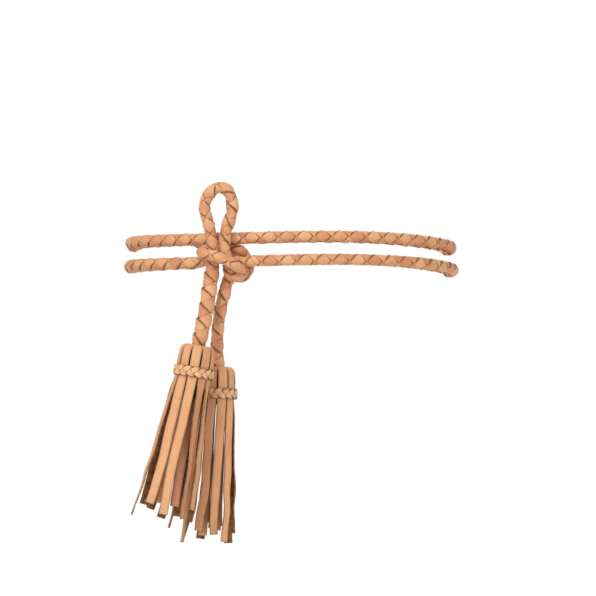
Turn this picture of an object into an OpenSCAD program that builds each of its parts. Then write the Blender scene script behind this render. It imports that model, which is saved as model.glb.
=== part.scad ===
// Braided leather tassel belt, wound twice round the waist and tied in a half bow.
// Millimetres, +Z up, the wearer faces -Y. The origin is the centre of the waist
// opening, midway between the two turns at the front.

/* [Waist] */
// Half the waist's width at the cord's centreline
waist_half_width = 128; // [124:1:132]
// Half the waist's depth at the cord's centreline
waist_half_depth = 88; // [85:1:91]
// Height between the two turns
turn_gap = 18.4; // [17:0.1:21]
// How much the turns dip at the wearer's sides
side_dip = 2.8; // [0:0.1:6]
// How much higher the turns are at the wearer's back than at the front
back_rise = 9.4; // [0:0.1:14]

/* [Cord] */
// Diameter of the round braid
cord_d = 9.6; // [9:0.1:10]
// How far the knot presses the braid, as a share of its diameter
knot_press = 0.97; // [0.9:0.01:1]
// Width of tail A, where the braid hangs slack, as a share of its diameter
tail_a_swell = 1.18; // [1:0.01:1.2]
// Width of tail B, as a share of its diameter
tail_b_swell = 1.05; // [1:0.01:1.06]

/* [Tassels] */
// Laces folded over each tassel's head
lace_count = 10; // [8:1:10]
// Width of a tassel lace
lace_w = 7.2; // [6:0.1:7.4]
// Thickness of a tassel lace
lace_t = 1.3; // [1:0.1:1.5]
// Length of a tassel below its crown
tassel_length = 138; // [120:1:145]
// Outer diameter of the tassel's head
head_d = 27; // [25:0.5:28]
// Outer diameter of the braided neck ring
ring_d = 31; // [30.5:0.1:31.2]
// Height of the braided neck ring
ring_h = 8; // [6:0.5:9]
// Lean of tassel A away from upright
tilt_a = 10; // [0:1:16]
// Lean of tassel B away from upright
tilt_b = 2; // [0:1:10]

/* [Hidden] */
TASSELS = ["tassel_a", "tassel_b"];
LACES = [for (k = [1:lace_count]) k];
CORES = [for (k = [1:4]) k];
WAIST_NODES = ["waist_turn_lower_right", "waist_turn_lower_back", "waist_crossing_outer",
    "waist_turn_upper_left", "waist_turn_upper_front", "waist_turn_upper_right",
    "waist_turn_upper_back", "waist_crossing_inner", "waist_turn_lower_left"];
KNOT_NODES = ["knot_left_leg", "knot_tuck", "knot_right_lobe", "knot_rear_pass",
    "knot_rear_wrap", "knot_left_bend", "knot_front_band", "knot_tail_root"];

$fn = 48;
cord_r = cord_d / 2;
sides = 10;
tan_leather = [0.80, 0.58, 0.41];
pale_leather = [0.85, 0.66, 0.49];
brown_leather = [0.62, 0.43, 0.29];

// ---- waist turns: a coil of two turns, worked out by formula ----

// Angles run from the front centre towards the wearer's left side, in degrees.
first_angle = -13;
last_angle = 684;
crossing_from = 199;
crossing_to = 217;
crossing_middle = (crossing_from + crossing_to) / 2;
crossing_out = cord_d + 1.2;
crossing_reach = 28;
// The lower turn lies a little further out than the upper one
lower_spread = 1.4;
// The turns part by this much less on the wearer's left side, and by more on the right
gap_slope = -0.6;
// Tilt of the turns: the whole pair dropped, rolled sideways, and bent at the sides
drop = -0.5;
roll = 2.7;
skew = -4.1;
// Just behind the sides the turns dip before they rise, but not the lower one on the right
hook_dip = 2.3;
hook_reach = 0.3;
crest_softness = 0.04;
crest_low = sqrt(crest_softness) - sqrt(1 + crest_softness);

function smooth(u) = let (c = min(1, max(0, u))) c * c * (3 - 2 * c);
function crossed(a) = smooth((a - crossing_from) / (crossing_to - crossing_from));
// Share of the way up: the lower turn climbs at the first crossing, comes down at the second
function level(a) = crossed(a) - crossed(a - 360);
function crest(a) = sqrt(pow(cos(a), 2) + crest_softness) - sqrt(1 + crest_softness);
function out(a) = let (d = a - crossing_middle) lower_spread * (1 - level(a))
    + (abs(d) < crossing_reach ? crossing_out * pow(cos(90 * d / crossing_reach), 2) : 0);
function dip(a) = hook_dip * (sin(a) > 0 ? 1 : level(a));
function rise(a) = cos(a) >= 0 ? 0 : back_rise * (1 - crest(a) / crest_low)
    - (-cos(a) < hook_reach ? dip(a) * pow(sin(-180 * cos(a) / hook_reach), 2) : 0);
function height(a) = drop + (turn_gap + gap_slope * sin(a)) * (level(a) - 0.5)
    + roll * sin(a) + skew * pow(sin(a), 3) + side_dip * crest(a) + rise(a);
function waist_point(a) = [(waist_half_width + out(a)) * sin(a),
    -(waist_half_depth + out(a)) * cos(a), height(a)];
// From the lower turn's left end back to its right end, as the cord runs
waist_angles = [last_angle, 666, 648, 630, 618, 606, 594, 586, 577, 572.5, 568, 563.5, 559,
    550, 540, 528, 516, 504, 492, 480, 468, 450, 432, 414, 396, 378, 360, 342, 324, 306, 288,
    270, 258, 246, 234, 226, 217, 212.5, 208, 203.5, 199, 190, 180, 168, 156, 144, 132, 120,
    108, 90, 72, 54, 36, 18, 0, first_angle];

// ---- knot, bow loop and tails: routes chosen by hand, measured from the knot's centre ----

// In the order that the cord runs, from tassel A to tassel B
knot_x = -60;
knot_centre = [knot_x, -waist_half_depth * sqrt(1 - pow(knot_x / waist_half_width, 2)), 0];
TAIL_A_ROUTE = [[-11.5, -41.5, -75.5], [-9.5, -37.5, -66], [-7.2, -32, -55], [-5, -26, -42],
    [-3.6, -20.5, -31], [-2.5, -17, -23], [-1.5, -14, -16.5]];
LEFT_LEG_ROUTE = [[-1.2, -14, -10.5], [-1.5, -14, -3], [-2.2, -14, 5.5], [-2.8, -14, 9.5]];
LOOP_ROUTE = [[-4, -14.5, 16], [-5.5, -15, 22], [-7.5, -15, 28.5], [-7.5, -15, 34.5],
    [-5, -15, 40.5], [-0.5, -15, 45.5], [4.5, -15, 47], [9.5, -15, 45.5], [12.5, -15, 41],
    [14, -15, 34.5], [14, -15, 28.5], [12, -15, 22], [10, -14.5, 16]];
TUCK_ROUTE = [[8.3, -14, 9.5], [8, -14, 5.5], [8, -13.5, -3], [10, -13, -11], [11, -13, -16.5]];
LOBE_ROUTE = [[13, -13, -21.5], [17.5, -12, -23.2], [22.5, -9, -22], [26, -4, -18],
    [26.5, 1, -12]];
PASS_ROUTE = [[24, 2, -6.4], [20.5, 0, -2.2], [16, -2, -0.8], [10, 1, -1], [2, 4.5, -5],
    [-6.5, 6, -9]];
WRAP_ROUTE = [[23, -8, -11.5], [13.5, -7, -9], [4, -5, -7.5], [-4, -5, -5], [-8.5, -9, -4]];
BEND_ROUTE = [[-9.5, -15, -3.5], [-8, -21, -5], [-3.5, -23.5, -6.5]];
BAND_ROUTE = [[2.5, -24.5, -8], [8, -24.5, -9.8], [13.5, -23.5, -12.5], [18.5, -21, -15.5]];
ROOT_ROUTE = [[20.5, -16.5, -18], [19.5, -10, -19], [16, -5, -20], [12, -3.5, -23.5]];
TAIL_B_ROUTE = [[9, -6.3, -30], [8, -7.5, -35], [5.8, -9, -43], [3.7, -9.5, -54.5],
    [2.5, -9.5, -66], [2, -9.5, -78], [3, -9, -91]];
function placed(route) = [for (p = route) knot_centre + p];

// The still part of the cord is one run, cut into stretches at these points
knot_first = placed(concat(TUCK_ROUTE, LOBE_ROUTE, PASS_ROUTE));
knot_last = placed(concat(WRAP_ROUTE, BEND_ROUTE, BAND_ROUTE, ROOT_ROUTE));
still_run = concat(knot_first, [for (a = waist_angles) waist_point(a)], knot_last);
in_waist = len(knot_first);
past_waist = in_waist + len(waist_angles);
still_radii = [for (i = [0:len(still_run) - 1])
    i < in_waist || i >= past_waist ? cord_r * knot_press : cord_r];
cut_tuck = len(TUCK_ROUTE) - 1;
cut_lobe = cut_tuck + len(LOBE_ROUTE);
cut_wrap = past_waist + len(WRAP_ROUTE) - 1;
cut_bend = cut_wrap + len(BEND_ROUTE);
cut_band = cut_bend + len(BAND_ROUTE);
function waist_cut(a) = in_waist + search(a, waist_angles)[0];

// ---- tube sweep ----

function unit(v) = v / norm(v);
function tangents(p) = [for (i = [0:len(p) - 1])
    unit(p[min(i + 1, len(p) - 1)] - p[max(i - 1, 0)])];
// Carries a side vector along the run, so that the tube doesn't twist
function carried(t, side, i = 0) = i == len(t) ? []
    : let (u = unit(side - (side * t[i]) * t[i])) concat([u], carried(t, u, i + 1));

// A tube along points from..to of a run, with one radius for each point
module tube(run, radii, from, to) {
    along = tangents(run);
    side = carried(along, [0.3, 1, 0.2]);
    rings = [for (i = [from:to]) for (k = [0:sides - 1])
        run[i] + radii[i] * (cos(360 * k / sides) * side[i]
            + sin(360 * k / sides) * cross(along[i], side[i]))];
    last = (to - from) * sides;
    polyhedron(rings, concat(
        [[for (k = [0:sides - 1]) k]],
        [for (i = [0:to - from - 1]) for (k = [0:sides - 1])
            let (a = i * sides + k, b = i * sides + (k + 1) % sides)
            each [[b, a, a + sides], [b, a + sides, b + sides]]],
        [[for (k = [sides - 1:-1:0]) last + k]]));
}

module still_stretch(from, to, shade = tan_leather) {
    color(shade) tube(still_run, still_radii, from, to);
}

module waist_stretch(low_angle, high_angle) {
    still_stretch(waist_cut(high_angle), waist_cut(low_angle));
}

// ---- moving stretches of cord, with ball ends that turn on the hinge axes ----

cap_angles = [75, 50, 25];

// Points and radii of a run with a half ball added at each end, as [point, radius] pairs
function with_balls(run, r) = let (n = len(run) - 1, back = unit(run[0] - run[1]),
        on = unit(run[n] - run[n - 1]))
    concat([for (b = cap_angles) [run[0] + r * sin(b) * back, r * cos(b)]],
        [for (p = run) [p, r]],
        [for (i = [len(cap_angles) - 1:-1:0]) let (b = cap_angles[i])
            [run[n] + r * sin(b) * on, r * cos(b)]]);

module ball_ended(route, swell = 1) {
    pairs = with_balls(placed(route), cord_r * swell);
    color(pale_leather)
        tube([for (p = pairs) p[0]], [for (p = pairs) p[1]], 0, len(pairs) - 1);
}

module bow_loop() { ball_ended(LOOP_ROUTE); }
module tail_a() { ball_ended(TAIL_A_ROUTE, tail_a_swell); }
module tail_b() { ball_ended(TAIL_B_ROUTE, tail_b_swell); }
module knot_left_leg() {
    run = placed(LEFT_LEG_ROUTE);
    color(tan_leather) tube(run, [for (p = run) cord_r * knot_press], 0, len(run) - 1);
}

// ---- tassels ----

pivot_above_crown = 3;
head_r = head_d / 2;
wedge = 360 / lace_count - 2;
inner_leg_r = cord_r + 0.4;
arch_r = (head_r - inner_leg_r) / 2;
inner_leg_end = 19;
outer_leg_end = 26;
strip_overlap = 3;
front_lean = 0.3;
side_lean = 6;
// The whole fringe also hangs a little towards the wearer's right side
fringe_drift = 2.5;
// Each tassel's laces are turned by this much about its axis
lace_turns = [18, 0];
neck_top = 3;
knot_top = 20;
knot_r = 8.5;
knot_h = 10;
thread_t = 1;
thread_gap = 0.05;
thread_h = 8;
ring_drop = 20.6;
ring_gap = 0.1;
strip_inset = 0.6;
core_spread = 4.2;

// Seats a tassel's own frame, crown top at zero and hanging down, under its tail
module hung(tail_end, tilt) {
    translate(knot_centre + tail_end) rotate([0, tilt, 0])
        translate([0, 0, -pivot_above_crown]) children();
}

module in_tassel(which) {
    if (which == 0) hung(TAIL_A_ROUTE[0], tilt_a) children();
    else hung(TAIL_B_ROUTE[len(TAIL_B_ROUTE) - 1], tilt_b) children();
}

// Ends are cut uneven, a little differently for each lace
function cut_length(k, phase) = tassel_length - 6 + 6 * sin(137 * k + phase);
function lean(angle) = front_lean + (side_lean - front_lean) * pow(cos(angle), 2);

// Half section of the fold: inner leg, arch over the crown, outer leg
module fold_section() {
    middle = inner_leg_r + arch_r;
    intersection() {
        translate([middle, -arch_r]) difference() {
            circle(arch_r);
            circle(arch_r - lace_t);
        }
        translate([inner_leg_r - 1, -arch_r]) square([head_r, arch_r + 1]);
    }
    translate([inner_leg_r, -inner_leg_end]) square([lace_t, inner_leg_end - arch_r]);
    translate([head_r - lace_t, -outer_leg_end]) square([lace_t, outer_leg_end - arch_r]);
}

module folded_lace(k, phase, turn) {
    angle = 360 * (k - 1) / lace_count + turn;
    length = cut_length(k, phase);
    rotate([0, 0, angle]) {
        rotate([0, 0, -wedge / 2]) rotate_extrude(angle = wedge) fold_section();
        translate([head_r - lace_t - strip_inset, 0, strip_overlap - outer_leg_end])
            rotate([fringe_drift * sin(angle), fringe_drift * cos(angle) - lean(angle), 0])
                translate([0, -lace_w / 2, outer_leg_end - strip_overlap - length])
                    cube([lace_t, lace_w, length - outer_leg_end + strip_overlap]);
    }
}

module core_lace(k, phase) {
    length = cut_length(k + lace_count, phase) - 4;
    top = knot_top + knot_h;
    rotate([0, 0, 90 * k + 45])
        translate([core_spread, -lace_w / 2 + 0.2, -length])
            cube([lace_t, lace_w - 0.4, length - top]);
}

module neck_cord() {
    translate([0, 0, -knot_top]) cylinder(r = cord_r, h = knot_top - neck_top);
}

module stopper_knot() {
    corner = 3;
    translate([0, 0, -knot_top - knot_h]) rotate_extrude() {
        square([knot_r - corner, knot_h]);
        translate([0, corner]) square([knot_r, knot_h - 2 * corner]);
        for (z = [corner, knot_h - corner]) translate([knot_r - corner, z]) circle(corner);
    }
}

module thread_tie() {
    inner = inner_leg_r + lace_t + thread_gap;
    translate([0, 0, -inner_leg_end]) rotate_extrude()
        translate([inner, 0]) square([thread_t, thread_h]);
}

module neck_ring() {
    inner = head_r + ring_gap;
    ring_t = ring_d / 2 - inner;
    round_r = ring_t / 2;
    translate([0, 0, -ring_drop]) rotate_extrude() {
        translate([inner, round_r - ring_h / 2]) square([ring_t, ring_h - ring_t]);
        for (s = [-1, 1]) translate([inner + round_r, s * (ring_h / 2 - round_r)])
            circle(round_r);
    }
}

// ---- nodes ----

module waist_turn_lower_right() { waist_stretch(first_angle, 90); }
module waist_turn_lower_back() { waist_stretch(90, crossing_from); }
module waist_crossing_outer() { waist_stretch(crossing_from, crossing_to); }
module waist_turn_upper_left() { waist_stretch(crossing_to, 306); }
module waist_turn_upper_front() { waist_stretch(306, 396); }
module waist_turn_upper_right() { waist_stretch(396, 468); }
module waist_turn_upper_back() { waist_stretch(468, crossing_from + 360); }
module waist_crossing_inner() { waist_stretch(crossing_from + 360, crossing_to + 360); }
module waist_turn_lower_left() { waist_stretch(crossing_to + 360, last_angle); }
module knot_tuck() { still_stretch(0, cut_tuck, brown_leather); }
module knot_right_lobe() { still_stretch(cut_tuck, cut_lobe, pale_leather); }
module knot_rear_pass() { still_stretch(cut_lobe, in_waist, brown_leather); }
module knot_rear_wrap() { still_stretch(past_waist - 1, cut_wrap, brown_leather); }
module knot_left_bend() { still_stretch(cut_wrap, cut_bend, pale_leather); }
module knot_front_band() { still_stretch(cut_bend, cut_band, pale_leather); }
module knot_tail_root() { still_stretch(cut_band, len(still_run) - 1, brown_leather); }

waist_turn_lower_right();
waist_turn_lower_back();
waist_crossing_outer();
waist_turn_upper_left();
waist_turn_upper_front();
waist_turn_upper_right();
waist_turn_upper_back();
waist_crossing_inner();
waist_turn_lower_left();
knot_tuck();
knot_right_lobe();
knot_rear_pass();
knot_rear_wrap();
knot_left_bend();
knot_front_band();
knot_tail_root();
knot_left_leg();
bow_loop();
tail_a();
tail_b();
for (i = [0, 1]) {
    name = TASSELS[i];
    phase = 200 * i;
    for (k = LACES) in_tassel(i)
        color(k % 2 == 0 ? tan_leather : pale_leather) folded_lace(k, phase, lace_turns[i]);
    for (k = CORES) in_tassel(i) color(brown_leather) core_lace(k, phase);
    in_tassel(i)
        color(tan_leather) neck_cord();
    in_tassel(i)
        color(brown_leather) stopper_knot();
    in_tassel(i)
        color([0.45, 0.30, 0.18]) thread_tie();
    in_tassel(i)
        color(pale_leather) neck_ring();
}
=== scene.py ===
"""Looks of the braided leather tassel belt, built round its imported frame."""

import logging
import math
from collections.abc import Callable
from dataclasses import dataclass, field
from enum import Enum

import bmesh
import bpy
import numpy as np
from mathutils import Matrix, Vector


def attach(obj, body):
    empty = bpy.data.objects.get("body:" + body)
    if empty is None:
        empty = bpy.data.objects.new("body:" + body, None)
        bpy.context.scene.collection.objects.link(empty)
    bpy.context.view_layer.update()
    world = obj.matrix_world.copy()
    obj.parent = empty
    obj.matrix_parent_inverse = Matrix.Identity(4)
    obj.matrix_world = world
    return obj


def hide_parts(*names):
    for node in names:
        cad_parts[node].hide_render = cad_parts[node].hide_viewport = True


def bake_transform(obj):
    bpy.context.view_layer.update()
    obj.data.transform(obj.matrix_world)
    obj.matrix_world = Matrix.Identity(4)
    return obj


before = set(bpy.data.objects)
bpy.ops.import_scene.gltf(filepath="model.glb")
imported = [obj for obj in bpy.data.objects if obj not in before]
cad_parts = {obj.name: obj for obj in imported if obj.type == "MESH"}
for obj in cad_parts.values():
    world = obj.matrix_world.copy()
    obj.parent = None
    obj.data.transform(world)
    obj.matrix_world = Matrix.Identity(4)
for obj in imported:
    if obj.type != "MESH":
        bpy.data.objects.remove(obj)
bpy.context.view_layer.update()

log = logging.getLogger("belt")

MM = 0.001
Array = np.ndarray
Tree = bpy.types.NodeTree
Socket = bpy.types.NodeSocket
Object = bpy.types.Object
Materials = list[bpy.types.Material]
Colour = tuple[float, float, float, float]


# ---- the cord's route ----

# Routes, in millimetres from the knot's centre, as the part's source has them,
# in the order that the cord runs from tassel A to tassel B.
TAIL_A_ROUTE = [(-11.5, -41.5, -75.5), (-9.5, -37.5, -66), (-7.2, -32, -55), (-5, -26, -42),
                (-3.6, -20.5, -31), (-2.5, -17, -23), (-1.5, -14, -16.5)]
LEFT_LEG_ROUTE = [(-1.2, -14, -10.5), (-1.5, -14, -3), (-2.2, -14, 5.5), (-2.8, -14, 9.5)]
LOOP_ROUTE = [(-4, -14.5, 16), (-5.5, -15, 22), (-7.5, -15, 28.5), (-7.5, -15, 34.5),
              (-5, -15, 40.5), (-0.5, -15, 45.5), (4.5, -15, 47), (9.5, -15, 45.5),
              (12.5, -15, 41), (14, -15, 34.5), (14, -15, 28.5), (12, -15, 22), (10, -14.5, 16)]
TUCK_ROUTE = [(8.3, -14, 9.5), (8, -14, 5.5), (8, -13.5, -3), (10, -13, -11), (11, -13, -16.5)]
LOBE_ROUTE = [(13, -13, -21.5), (17.5, -12, -23.2), (22.5, -9, -22), (26, -4, -18),
              (26.5, 1, -12)]
PASS_ROUTE = [(24, 2, -6.4), (20.5, 0, -2.2), (16, -2, -0.8), (10, 1, -1), (2, 4.5, -5),
              (-6.5, 6, -9)]
WRAP_ROUTE = [(23, -8, -11.5), (13.5, -7, -9), (4, -5, -7.5), (-4, -5, -5), (-8.5, -9, -4)]
BEND_ROUTE = [(-9.5, -15, -3.5), (-8, -21, -5), (-3.5, -23.5, -6.5)]
BAND_ROUTE = [(2.5, -24.5, -8), (8, -24.5, -9.8), (13.5, -23.5, -12.5), (18.5, -21, -15.5)]
ROOT_ROUTE = [(20.5, -16.5, -18), (19.5, -10, -19), (16, -5, -20), (12, -3.5, -23.5)]
TAIL_B_ROUTE = [(9, -6.3, -30), (8, -7.5, -35), (5.8, -9, -43), (3.7, -9.5, -54.5),
                (2.5, -9.5, -66), (2, -9.5, -78), (3, -9, -91)]


@dataclass(frozen=True)
class Waist:
    """The two turns round the waist, by formula, in millimetres and degrees."""

    half_width: float = 128.0
    lower_spread: float = 1.4
    half_depth: float = 88.0
    turn_gap: float = 18.4
    gap_slope: float = -0.6
    drop: float = -0.5
    roll: float = 2.7
    skew: float = -4.1
    side_dip: float = 2.8
    back_rise: float = 9.4
    hook_dip: float = 2.3
    hook_reach: float = 0.3
    first_angle: float = -13.0
    last_angle: float = 684.0
    crossing_from: float = 199.0
    crossing_to: float = 217.0
    bulge: float = 10.8
    bulge_reach: float = 28.0
    crest_softness: float = 0.04
    knot_x: float = -60.0
    step: float = 6.0

    def crossed(self, angle: float) -> float:
        """Share of the crossing that is behind this angle.

        Args:
            angle: degrees along the two turns.

        Returns:
            0 before the crossing, 1 past it, smooth between.
        """
        u = (angle - self.crossing_from) / (self.crossing_to - self.crossing_from)
        u = min(1.0, max(0.0, u))
        return u * u * (3 - 2 * u)

    def height(self, a: float, level: float) -> float:
        """Height of a turn at an angle.

        Args:
            a: the angle from the front, in radians.
            level: 0 on the lower turn, 1 on the upper.

        Returns:
            The height in millimetres.
        """
        side, front = math.sin(a), math.cos(a)
        lowest = math.sqrt(self.crest_softness) - math.sqrt(1 + self.crest_softness)
        crest = math.sqrt(front ** 2 + self.crest_softness) - math.sqrt(1 + self.crest_softness)
        z = (self.drop + (self.turn_gap + self.gap_slope * side) * (level - 0.5)
             + self.roll * side + self.skew * side ** 3 + self.side_dip * crest)
        if front < 0:
            z += self.back_rise * (1 - crest / lowest)
            if -front < self.hook_reach:
                dip = self.hook_dip * (1 if side > 0 else level)
                z -= dip * math.sin(math.pi * -front / self.hook_reach) ** 2
        return z

    def point(self, degrees: float) -> tuple[float, float, float]:
        """The cord's centre at an angle from the front.

        Args:
            degrees: angle along the two turns, growing towards +X from the front.

        Returns:
            The point in millimetres, in the row frame.
        """
        a = math.radians(degrees)
        away = degrees - (self.crossing_from + self.crossing_to) / 2
        out = 0.0
        if abs(away) < self.bulge_reach:
            out = self.bulge * math.cos(math.pi / 2 * away / self.bulge_reach) ** 2
        level = self.crossed(degrees) - self.crossed(degrees - 360)
        out += self.lower_spread * (1 - level)
        return ((self.half_width + out) * math.sin(a), -(self.half_depth + out) * math.cos(a),
                self.height(a, level))

    def knot_centre(self) -> Array:
        """Where the knot's own routes are measured from, in millimetres."""
        y = -self.half_depth * math.sqrt(1 - (self.knot_x / self.half_width) ** 2)
        return np.array([self.knot_x, y, 0.0])

    def turns(self) -> list[tuple[float, float, float]]:
        """Points along both turns, a few millimetres apart.

        Returns:
            The points in millimetres, in the row frame, from the first angle to the last.
        """
        count = round((self.last_angle - self.first_angle) / self.step)
        angles = np.linspace(self.first_angle, self.last_angle, count + 1)
        return [self.point(float(a)) for a in angles]


class Stretch(Enum):
    """The cord's stretches, in order from tassel A to tassel B."""

    NECK_A = "neck_a"
    TAIL_A = "tail_a"
    LEFT_LEG = "left_leg"
    LOOP = "loop"
    KNOT_FIRST = "knot_first"
    WAIST = "waist"
    KNOT_LAST = "knot_last"
    TAIL_B = "tail_b"
    NECK_B = "neck_b"


@dataclass(frozen=True)
class Facing:
    """Where the braid's facets point: a place on the cord and a direction to face there."""

    stretch: Stretch
    share: float
    direction: tuple[float, float, float]
    turned: float = 0.0


FRONT = (0.0, -1.0, 0.0)
RIGHT_SIDE, LEFT_SIDE = (-1.0, 0.0, 0.0), (1.0, 0.0, 0.0)
FACINGS = [Facing(*row) for row in (
    (Stretch.TAIL_A, 0.0, FRONT, 130), (Stretch.TAIL_A, 1.0, FRONT, 130),
    (Stretch.LEFT_LEG, 1.0, FRONT, 90), (Stretch.LOOP, 0.25, FRONT, 80),
    (Stretch.LOOP, 0.8, FRONT, 20), (Stretch.LOOP, 1.0, FRONT, 0),
    (Stretch.WAIST, 0.045, FRONT, 120), (Stretch.WAIST, 0.14, RIGHT_SIDE, 110),
    (Stretch.WAIST, 0.39, LEFT_SIDE, 85), (Stretch.WAIST, 0.5, FRONT, 85),
    (Stretch.WAIST, 0.64, RIGHT_SIDE, 85), (Stretch.WAIST, 0.87, LEFT_SIDE, 70),
    (Stretch.WAIST, 1.0, FRONT, 70), (Stretch.KNOT_LAST, 0.62, FRONT, 90),
    (Stretch.TAIL_B, 0.0, FRONT, 50), (Stretch.TAIL_B, 1.0, FRONT, 50))]


@dataclass
class CordLine:
    """The smooth centreline of the whole cord, with a frame and a fullness along it.

    All its arrays have one row for each step along the cord, in metres.
    """

    waist: Waist = field(default_factory=Waist)
    pressed: float = 0.97
    drawn_tight: float = 0.97
    flattened: float = 1.2
    hung_loose: float = 1.06
    neck_depth: float = 17.0
    tilt_a: float = 10.0
    tilt_b: float = 2.0
    step: float = 0.0009
    at: Array = field(init=False)
    side: Array = field(init=False)
    up: Array = field(init=False)
    along: Array = field(init=False)
    full: Array = field(init=False)
    roll: Array = field(init=False)
    marks: dict[Stretch, tuple[float, float]] = field(init=False)

    def __post_init__(self) -> None:
        """Joins the stretches, smooths them and carries the frame along."""
        rows: list[tuple[Array, float]] = []
        ends: dict[Stretch, tuple[int, int]] = {}
        for stretch, points, fullness in self.stretches():
            ends[stretch] = (len(rows), len(rows) + len(points) - 1)
            rows += [(np.array(p, float), fullness) for p in points]
        control = np.array([p for p, _ in rows]) * MM
        fullness = np.array([f for _, f in rows])
        line, share = smooth_through(control)
        length = distances(line)
        self.along = np.arange(0, length[-1], self.step)
        self.at = np.column_stack([np.interp(self.along, length, line[:, i]) for i in range(3)])
        place = np.interp(self.along, length, share)
        self.full = softened(np.interp(place, np.arange(len(fullness)), fullness), 9)
        at_control = np.interp(np.arange(len(rows)), share, length)
        self.marks = {s: (float(at_control[a]), float(at_control[b])) for s, (a, b) in ends.items()}
        self.side, self.up = carried_frame(self.at)
        self.roll = self.rolled(FACINGS)

    def rolled(self, facings: list[Facing]) -> Array:
        """The braid's turn in the carried frame, so that its facets point as wanted.

        Args:
            facings: the wanted directions, in order along the cord.

        Returns:
            An angle in radians for each step along the cord.
        """
        places, angles = [], []
        for facing in facings:
            start, end = self.marks[facing.stretch]
            place = start + (end - start) * facing.share
            i = int(np.searchsorted(self.along, place))
            i = min(i, len(self.along) - 1)
            way = np.array(facing.direction, float)
            angle = math.atan2(way @ self.up[i], way @ self.side[i])
            angle += math.radians(facing.turned)
            if angles:
                angle -= math.pi * round((angle - angles[-1]) / math.pi)
            places.append(place)
            angles.append(angle)
        return np.interp(self.along, places, angles)

    def stretches(self) -> list[tuple[Stretch, list, float]]:
        """The cord's stretches, from tassel A to tassel B.

        Returns:
            Each stretch with its points in millimetres and its share of full thickness.
        """
        centre = self.waist.knot_centre()

        def placed(route: list) -> list:
            """The route's points, moved to the knot."""
            return [tuple(centre + np.array(p)) for p in route]

        def neck(pivot: tuple, tilt: float) -> list:
            """Two points straight down a tassel's neck from its pivot.

            Args:
                pivot: the neck's top from the knot's centre, in millimetres.
                tilt: the tassel's lean, in degrees.

            Returns:
                The two points, the upper one first.
            """
            lean = math.radians(tilt)
            down = np.array([-math.sin(lean), 0.0, -math.cos(lean)])
            end = centre + np.array(pivot)
            return [tuple(end + down * self.neck_depth * k / 2) for k in (1, 2)]

        first = TUCK_ROUTE + LOBE_ROUTE + PASS_ROUTE
        last = WRAP_ROUTE + BEND_ROUTE + BAND_ROUTE + ROOT_ROUTE
        return [(Stretch.NECK_A, neck(TAIL_A_ROUTE[0], self.tilt_a)[::-1], 1.0),
                (Stretch.TAIL_A, placed(TAIL_A_ROUTE), self.flattened),
                (Stretch.LEFT_LEG, placed(LEFT_LEG_ROUTE), self.pressed),
                (Stretch.LOOP, placed(LOOP_ROUTE), 1.0),
                (Stretch.KNOT_FIRST, placed(first), self.pressed),
                (Stretch.WAIST, self.waist.turns()[::-1], self.drawn_tight),
                (Stretch.KNOT_LAST, placed(last), self.pressed),
                (Stretch.TAIL_B, placed(TAIL_B_ROUTE), self.hung_loose),
                (Stretch.NECK_B, neck(TAIL_B_ROUTE[-1], self.tilt_b), 1.0)]

    def sample(self, along: Array) -> tuple[Array, Array, Array, Array]:
        """What the cord is like at distances along it.

        Args:
            along: distances along the cord, in metres.

        Returns:
            Centres, side vectors, up vectors and fullness at those distances.
        """
        def pick(values: Array) -> Array:
            """Vectors at those distances."""
            return np.stack([np.interp(along, self.along, values[:, i]) for i in range(3)], -1)
        return pick(self.at), pick(self.side), pick(self.up), self.value(self.full, along)

    def value(self, values: Array, along: Array) -> Array:
        """One of the line's own values at distances along the cord."""
        return np.interp(along, self.along, values)

    def centre(self, along: float) -> Vector:
        """The centreline's point at a distance along the cord."""
        return Vector([float(np.interp(along, self.along, self.at[:, i])) for i in range(3)])

    def path(self, start: float, end: float) -> list[list[float]]:
        """Centreline points from start to end."""
        count = max(12, round((end - start) / 0.004))
        return [list(self.centre(float(s))) for s in np.linspace(start, end, count)]


def smooth_through(points: Array, per_span: int = 24) -> tuple[Array, Array]:
    """A centripetal Catmull-Rom curve through points.

    Args:
        points: the points that the curve passes through.
        per_span: curve points for each pair of neighbours.

    Returns:
        The curve's points, and for each its place among the given points as an index.
    """
    padded = np.vstack([2 * points[0] - points[1], points, 2 * points[-1] - points[-2]])
    curve, place = [], []
    for i in range(len(points) - 1):
        p0, p1, p2, p3 = padded[i:i + 4]
        t0, t1, t2, t3 = distances(padded[i:i + 4], 0.5)
        share = np.arange(per_span) / per_span
        t = (t1 + (t2 - t1) * share)[:, None]

        def between(a: Array, b: Array, low: float, high: float) -> Array:
            """Points on the way from a, at low, to b, at high."""
            return ((high - t) * a + (t - low) * b) / (high - low)

        a1, a2, a3 = between(p0, p1, t0, t1), between(p1, p2, t1, t2), between(p2, p3, t2, t3)
        curve += list(between(between(a1, a2, t0, t2), between(a2, a3, t1, t3), t1, t2))
        place += list(i + share)
    curve.append(points[-1])
    place.append(len(points) - 1)
    return np.array(curve), np.array(place, float)


def units(vectors: Array) -> Array:
    """Vectors brought to length one."""
    return vectors / np.linalg.norm(vectors, axis=1, keepdims=True)


def distances(line: Array, power: float = 1.0) -> Array:
    """How far along a line each of its points is, summing each step's length to a power."""
    steps = np.linalg.norm(np.diff(line, axis=0), axis=1) ** power
    return np.concatenate([[0], np.cumsum(steps)])


def softened(values: Array, reach: int) -> Array:
    """Values with a running mean over reach steps on each side."""
    kernel = np.ones(2 * reach + 1) / (2 * reach + 1)
    return np.convolve(np.pad(values, reach, mode="edge"), kernel, mode="valid")


def round_about(angle: Array, side: Array, up: Array) -> Array:
    """Outward vectors at angles round a line: rings of points in the line's own frame."""
    return np.cos(angle)[..., None] * side + np.sin(angle)[..., None] * up


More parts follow.
